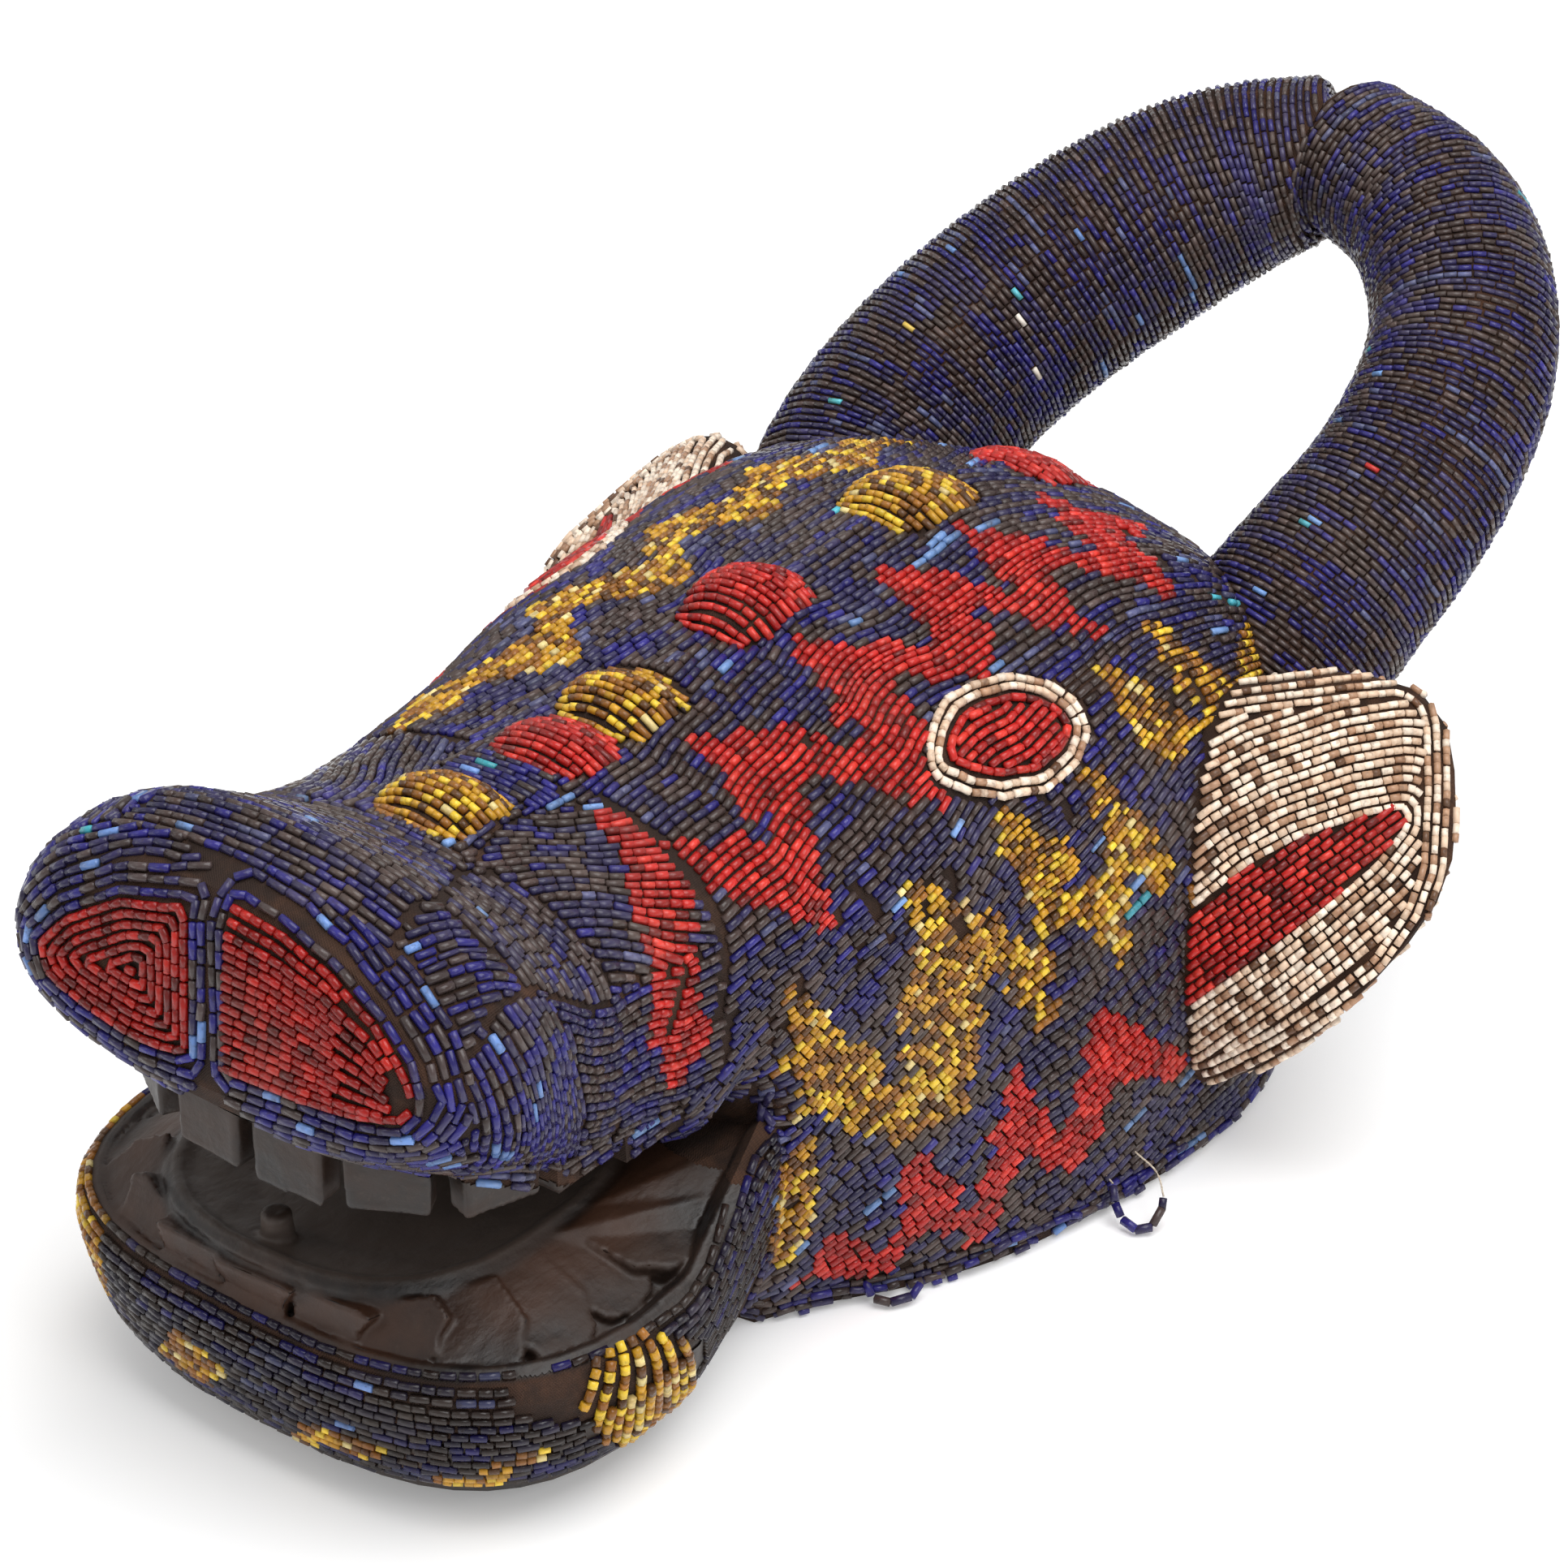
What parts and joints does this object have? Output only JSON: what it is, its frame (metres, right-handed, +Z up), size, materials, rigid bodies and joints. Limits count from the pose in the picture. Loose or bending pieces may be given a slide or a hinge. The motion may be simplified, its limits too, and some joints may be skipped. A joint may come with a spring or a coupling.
{
  "type": "beaded buffalo mask",
  "caption": "Carved wooden buffalo head mask covered in glass beads, with an open toothed mouth, leaf ears and horns that close a loop behind the head.",
  "frame": {"origin": "on the floor plane, below the middle of the mask's box", "axes": "+Z up, the muzzle faces -Y, +X is the animal's left"},
  "size_m": [0.4262, 0.7116, 0.3067],
  "materials": {
    "carved_wood": "dark patina, partly covered with brown cloth",
    "indigo_beads": "opaque glass beads sewn on brown cloth",
    "cream_beads": "opaque glass beads with a brown patina"
  },
  "bodies": {
    "root": {"carved_head": "carved_wood", "left_horn": "indigo_beads", "right_horn": "indigo_beads", "left_ear": "cream_beads", "right_ear": "cream_beads"}
  },
  "joints": []
}
